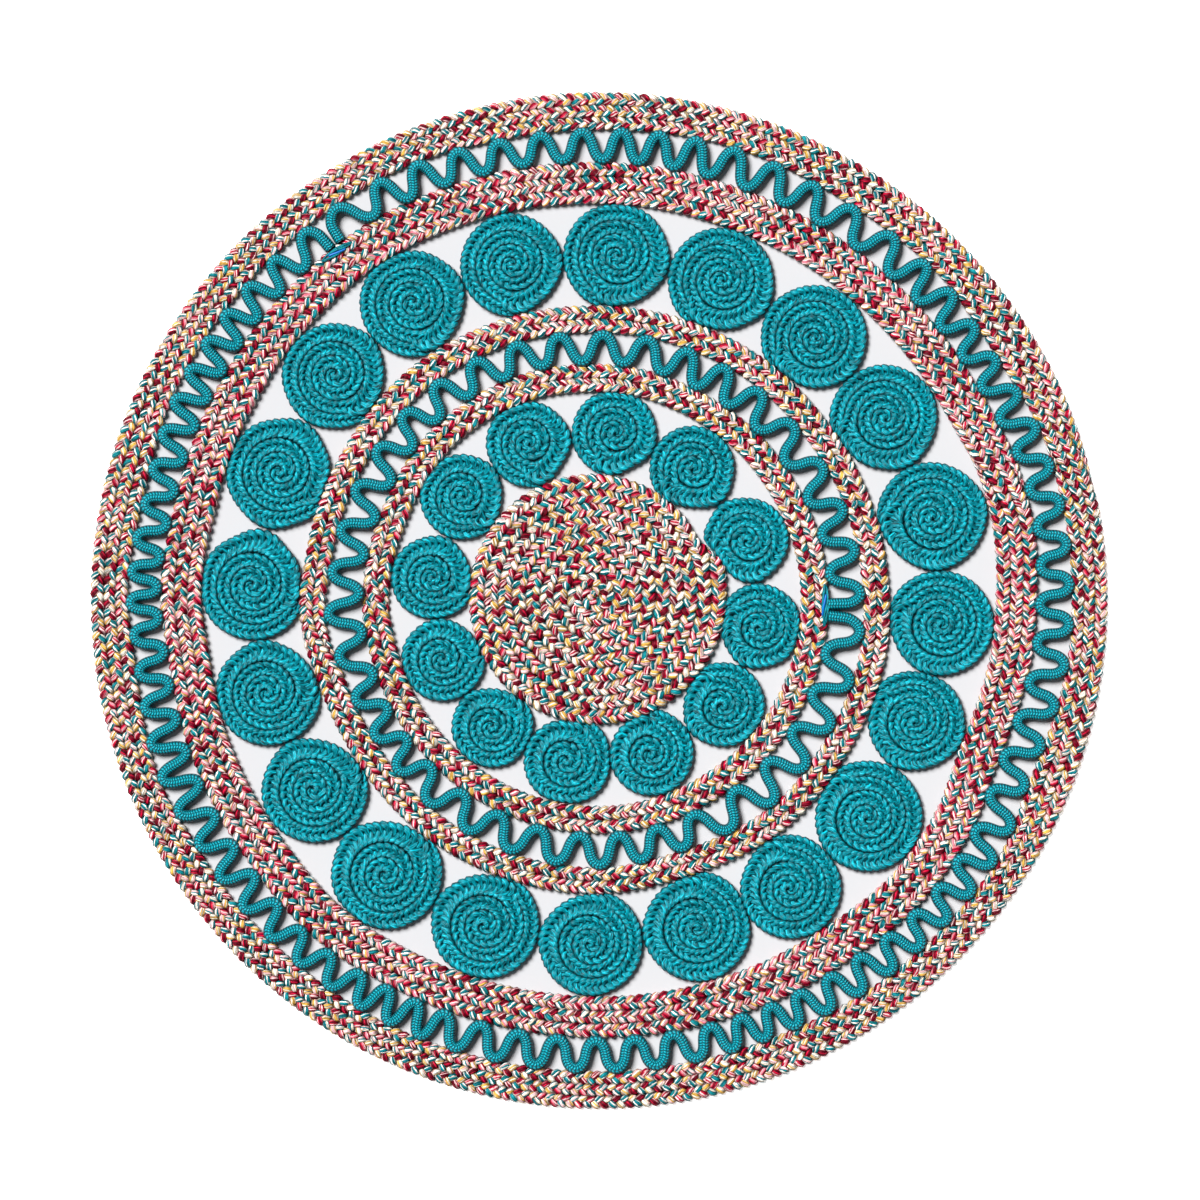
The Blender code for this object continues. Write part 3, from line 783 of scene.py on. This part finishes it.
def ramp_colors(node, colors):
    """Sets a Color Ramp to hold each of some colours over an even share of its length."""
    ramp = node.color_ramp
    ramp.interpolation = "CONSTANT"
    while len(ramp.elements) < len(colors):
        ramp.elements.new(1.0)
    for index, (element, color) in enumerate(zip(ramp.elements, colors)):
        element.position = index / len(colors)
        element.color = (*color, 1.0)


def new_material(name, roughness, gloss):
    """A new material of a roughness and a gloss: the material, its tree and its shader."""
    material = bpy.data.materials.new(name)
    material.use_nodes = True
    tree = material.node_tree
    shader = tree.nodes["Principled BSDF"]
    shader.inputs["Roughness"].default_value = roughness
    shader.inputs["Specular IOR Level"].default_value = gloss
    return material, tree, shader


def shaded_color(tree, color, shade):
    """A colour, from a socket or as four numbers, multiplied by a shade that carries painted
    shade and highlight.
    """
    node = tree.nodes.new("ShaderNodeMix")
    node.data_type = "RGBA"
    node.blend_type = "MULTIPLY"
    node.inputs["Factor"].default_value = 1.0
    grey = tree.nodes.new("ShaderNodeCombineColor")
    for socket in grey.inputs:
        tree.links.new(shade, socket)
    feed(tree, node.inputs["A"], color)
    tree.links.new(grey.outputs[0], node.inputs["B"])
    return node.outputs["Result"]


def add_bump(tree, shader, height, distance, strength):
    """Feeds a height into a shader's normal."""
    bump = tree.nodes.new("ShaderNodeBump")
    bump.inputs["Distance"].default_value = distance
    bump.inputs["Strength"].default_value = strength
    tree.links.new(height, bump.inputs["Height"])
    tree.links.new(bump.outputs[0], shader.inputs["Normal"])


def bundle_material(name, group, yarns, twist, grain, side, gloss):
    """A strand of several coloured yarns: a ramp of colours round the bundle, times its painted
    shade; side is how dark the painted shade on its sides gets.
    """
    material, tree, shader = new_material(name, roughness=0.45, gloss=gloss)
    bundle = tree.nodes.new("ShaderNodeGroup")
    bundle.node_tree = group
    values = {"Yarns": len(yarns), "Twist": twist, "Grain": grain, "Side": side}
    for label, value in values.items():
        bundle.inputs[label].default_value = value
    ramp = tree.nodes.new("ShaderNodeValToRGB")
    ramp_colors(ramp, yarns)
    tree.links.new(bundle.outputs["Around"], ramp.inputs[0])
    color = shaded_color(tree, ramp.outputs[0], bundle.outputs["Shade"])
    tree.links.new(color, shader.inputs["Base Color"])
    add_bump(tree, shader, bundle.outputs["Height"], distance=0.0009, strength=0.55)
    return material


YARNS_OF_STRANDS = {
    "red": ("dark_red crimson dark_red dark_red crimson blush pink "
            "crimson dark_red crimson blush crimson blush dark_red"),
    "teal": ("teal deep_teal white teal deep_teal white blush "
             "teal white cream deep_teal teal teal white"),
    "gold": ("mustard mustard cream mustard blush cream white "
             "cream mustard cream mustard blush blush cream"),
    "rose": ("pink blush cream mustard blush blush pink "
             "mustard white blush pink mustard cream blush")}
# the yarns round the bundle of each of the mixed plait's strands, by the names of their
# colours in the settings


def mixed_materials(group):
    """The finishes of the mixed plait's strands, by name."""
    colors = bpy.context.scene.rug_yarns
    found = {}
    for strand, yarns in YARNS_OF_STRANDS.items():
        ring = [tuple(getattr(colors, yarn)) for yarn in yarns.split()]
        found[strand] = bundle_material(strand.title() + " Strand", group, ring,
                                        twist=4.0, grain=3.8, side=0.36, gloss=0.13)
    return found


def teal_material(group):
    """The finish of the rosettes' strands: one teal, lighter and darker from yarn to yarn."""
    base = np.array(bpy.context.scene.rug_yarns.rosette)
    levels = (1.0, 1.2, 0.8, 1.1, 0.75, 1.15, 0.9, 1.25, 0.75, 1.0, 1.15, 0.8)
    yarns = [tuple(base * level) for level in levels]
    return bundle_material("Rosette Teal Strand", group, yarns,
                           twist=14.0, grain=4.4, side=0.78, gloss=0.30)


def cord_material(group):
    """The finish of the zigzag cords: a teal sheath of small stitches, with painted highlights
    and shade.
    """
    yarn = bpy.context.scene.rug_yarns
    material, tree, shader = new_material("Teal Cord Sheath", roughness=0.4, gloss=0.38)
    sheath = tree.nodes.new("ShaderNodeGroup")
    sheath.node_tree = group
    sheath.inputs["Stitch"].default_value = bpy.context.scene.rug_cords.stitch
    color = shaded_color(tree, (*yarn.cord, 1.0), sheath.outputs["Shade"])
    tree.links.new(color, shader.inputs["Base Color"])
    add_bump(tree, shader, sheath.outputs["Height"], distance=0.0012, strength=1.0)
    return material


def thread_material():
    """The bright blue thread at the cords' ends."""
    material, _, shader = new_material("Blue Thread", roughness=0.4, gloss=0.4)
    color = bpy.context.scene.rug_yarns.thread
    shader.inputs["Base Color"].default_value = (*color, 1.0)
    return material


FLOOR_BLEND = (0.585, 0.600)    # from its middle, where the grey floor turns to the white
FLOOR_GLOW = 0.6


def floor_material(stage):
    """The studio floor: pale grey under the rug, and past it white and glowing.

    The glow fills in the shadow at the rug's rim, so that the rug lies on plain white.
    """
    material, tree, shader = new_material("Studio Floor", roughness=0.9, gloss=0.1)
    place = tree.nodes.new("ShaderNodeTexCoord")
    reach = tree.nodes.new("ShaderNodeVectorMath")
    reach.operation = "LENGTH"
    tree.links.new(place.outputs["Object"], reach.inputs[0])
    past = add_range(tree, reach.outputs["Value"], FLOOR_BLEND)
    color = tree.nodes.new("ShaderNodeMix")
    color.data_type = "RGBA"
    color.inputs["A"].default_value = (*stage.floor, 1.0)
    color.inputs["B"].default_value = (*stage.surround, 1.0)
    tree.links.new(past, color.inputs["Factor"])
    tree.links.new(color.outputs["Result"], shader.inputs["Base Color"])
    shader.inputs["Emission Color"].default_value = (1.0, 1.0, 1.0, 1.0)
    glow = add_math(tree, "MULTIPLY", past, FLOOR_GLOW)
    tree.links.new(glow, shader.inputs["Emission Strength"])
    return material


# ---------------- operators

CENTRE_SEED = 11
BAND_SEED = 21
SMALL_SEED = 40
LARGE_SEED = 60
FINISHES = {}


def finishes():
    """The yarn finishes, made on first use."""
    if not FINISHES:
        bundle = yarn_bundle_group()
        FINISHES.update(mixed_materials(bundle))
        FINISHES["rosette"] = teal_material(bundle)
        FINISHES["thread"] = thread_material()
        FINISHES["cord"] = cord_material(sheath_group())
    return FINISHES


def mixed_piece(name, route, full_width, third, seed):
    """A piece of mixed plait along a route."""
    settings = bpy.context.scene.rug_plaits
    plait = Plait(settings.mixed_lobe, settings.mixed_swing, settings.mixed_fill,
                  MIXED_RINGS, (0, 1, 2))
    row = even_row(route, ROW_STEP)
    tubes = plait_strands(row, full_width, plait, np.random.default_rng(seed))
    found = finishes()
    make_piece(name + "_plait", tubes, [found["red"], found["teal"], found[third]],
               [name])


def rosette_pieces(name, ring, turns, seed):
    """A ring of rosettes of teal plait, each its own piece."""
    settings = bpy.context.scene.rug_plaits
    plait = Plait(settings.teal_lobe, settings.teal_swing, settings.teal_fill,
                  TEAL_RINGS, (0, 0, 0))
    for index, rosette in enumerate(ring):
        node = f"{name}_{index + 1:02d}"
        x, y = polar(rosette.angle, rosette.distance / 1000.0)
        radius = rosette.radius / 1000.0
        coil = Coil(node, x, y, rosette.angle + ROSETTE_TAIL, radius, turns, ROSETTE_TAPER)
        row = even_row(coil_row(coil), ROW_STEP)
        dice = np.random.default_rng(seed + index)
        tubes = plait_strands(row, radius / turns, plait, dice)
        make_piece(node + "_plait", tubes, [finishes()["rosette"]], [node])


class RUG_OT_centre_disc(bpy.types.Operator):
    """Coil the mixed plait of the centre disc"""
    bl_idname = "rug.centre_disc"
    bl_label = "Centre Disc"

    def execute(self, context):
        width = CENTRE_COIL.radius / CENTRE_COIL.turns
        mixed_piece("centre_disc", coil_row(CENTRE_COIL), width, "gold", CENTRE_SEED)
        return {"FINISHED"}


class RUG_OT_bands(bpy.types.Operator):
    """Wind the mixed plait of the four bands"""
    bl_idname = "rug.bands"
    bl_label = "Plaited Bands"

    def execute(self, context):
        for index, band in enumerate(BANDS):
            mixed_piece(band.node, band_row(band), BAND_WIDTH, band.third_strand,
                        BAND_SEED + index)
        return {"FINISHED"}


class RUG_OT_small_rosettes(bpy.types.Operator):
    """Coil the ring of small teal rosettes"""
    bl_idname = "rug.small_rosettes"
    bl_label = "Small Rosettes"

    def execute(self, context):
        rosette_pieces("small_rosette", SMALL_ROSETTES, SMALL_TURNS, SMALL_SEED)
        return {"FINISHED"}


class RUG_OT_large_rosettes(bpy.types.Operator):
    """Coil the ring of large teal rosettes"""
    bl_idname = "rug.large_rosettes"
    bl_label = "Large Rosettes"

    def execute(self, context):
        rosette_pieces("large_rosette", LARGE_ROSETTES, LARGE_TURNS, LARGE_SEED)
        return {"FINISHED"}


class RUG_OT_zigzag_cords(bpy.types.Operator):
    """Lay the two zigzag cords between their bands"""
    bl_idname = "rug.zigzag_cords"
    bl_label = "Zigzag Cords"

    def execute(self, context):
        size = context.scene.rug_cords.diameter
        for cord in CORDS:
            line, along = even_cord(cord)
            width = np.full(len(line), size)
            points = carry_oval(line, width, width, CORD_SIDES)
            tubes = [Tube(points, along, np.zeros(points.shape[:2]), 0)]
            tubes += binding_threads(BINDINGS[cord.node])
            found = finishes()
            make_piece(cord.node + "_sheath", tubes,
                       [found["cord"], found["rosette"], found["thread"]],
                       [cord.node])
        return {"FINISHED"}


FLOOR_REACH = 20.0
FLOOR_LEVEL = -0.0002       # just under the rug, so that the two don't share a plane
SKY_COLOR = (0.97, 0.98, 1.0, 1.0)
KEY_COLOR = (1.0, 0.985, 0.96)
KEY_SIZE = 28.0             # degrees of sky that the key light takes up
KEY_TILT = (-24.0, -27.0)   # degrees it is turned about X and Y, to shine from the upper left
SENSOR_WIDTH = 36.0
CAMERA_SHIFT = (0.0011, 0.0005)     # of the camera from the rug's middle
VIEW_DEPTH = 100.0


class RUG_OT_stage(bpy.types.Operator):
    """Set up the floor, the lights and the camera"""
    bl_idname = "rug.stage"
    bl_label = "Studio Stage"

    def execute(self, context):
        scene = context.scene
        stage = scene.rug_stage
        mesh = bpy.data.meshes.new("studio_floor")
        corners = [(x * FLOOR_REACH, y * FLOOR_REACH, FLOOR_LEVEL)
                   for x, y in ((-1, -1), (1, -1), (1, 1), (-1, 1))]
        mesh.from_pydata(corners, [], [(0, 1, 2, 3)])
        mesh.materials.append(floor_material(stage))
        floor = bpy.data.objects.new("studio_floor", mesh)
        scene.collection.objects.link(floor)

        world = bpy.data.worlds.new("Studio Light")
        world.use_nodes = True
        tree = world.node_tree
        sky = tree.nodes["Background"]
        sky.inputs["Color"].default_value = SKY_COLOR
        # the camera sees the sky at full strength, so that it is white behind the rug
        rays = tree.nodes.new("ShaderNodeLightPath")
        seen = rays.outputs["Is Camera Ray"]
        strength = add_math(tree, "MULTIPLY_ADD", seen, 1.0 - stage.sky, stage.sky)
        tree.links.new(strength, sky.inputs["Strength"])
        scene.world = world

        lamp = bpy.data.lights.new("Key Light", "SUN")
        lamp.energy = stage.key
        lamp.angle = math.radians(KEY_SIZE)
        lamp.color = KEY_COLOR
        key = bpy.data.objects.new("Key Light", lamp)
        key.rotation_euler = (*(math.radians(tilt) for tilt in KEY_TILT), 0.0)
        scene.collection.objects.link(key)

        lens = bpy.data.cameras.new("Camera")
        lens.sensor_width = SENSOR_WIDTH
        lens.lens = SENSOR_WIDTH * stage.camera_height / stage.frame_width
        lens.clip_end = VIEW_DEPTH
        camera = bpy.data.objects.new("Camera", lens)
        camera.location = (*CAMERA_SHIFT, stage.camera_height)
        scene.collection.objects.link(camera)
        scene.camera = camera
        scene.view_settings.view_transform = "Standard"
        return {"FINISHED"}


class RUG_PT_panel(bpy.types.Panel):
    """The rug's pieces and settings in the sidebar"""
    bl_idname = "RUG_PT_panel"
    bl_label = "Braided Rug"
    bl_space_type = "VIEW_3D"
    bl_region_type = "UI"
    bl_category = "Rug"

    def draw(self, context):
        for operator in OPERATORS:
            self.layout.operator(operator.bl_idname)
        for name, group in SETTINGS:
            for setting in group.__annotations__:
                self.layout.prop(getattr(context.scene, name), setting)


OPERATORS = (RUG_OT_centre_disc, RUG_OT_small_rosettes, RUG_OT_bands, RUG_OT_zigzag_cords,
             RUG_OT_large_rosettes, RUG_OT_stage)
SETTINGS = (("rug_plaits", RugPlaitSettings), ("rug_cords", RugCordSettings),
            ("rug_yarns", RugYarnSettings), ("rug_stage", RugStageSettings))


def register():
    """Registers the settings, the operators and the panel."""
    for name, group in SETTINGS:
        bpy.utils.register_class(group)
        setattr(bpy.types.Scene, name, bpy.props.PointerProperty(type=group))
    for operator in OPERATORS:
        bpy.utils.register_class(operator)
    bpy.utils.register_class(RUG_PT_panel)


def unregister():
    """Takes out what register put in."""
    bpy.utils.unregister_class(RUG_PT_panel)
    for operator in reversed(OPERATORS):
        bpy.utils.unregister_class(operator)
    for name, group in reversed(SETTINGS):
        delattr(bpy.types.Scene, name)
        bpy.utils.unregister_class(group)


def main():
    """Makes every piece and the stage."""
    register()
    for operator in OPERATORS:
        namespace, name = operator.bl_idname.split(".")
        getattr(getattr(bpy.ops, namespace), name)()


if __name__ == "__main__":
    main()
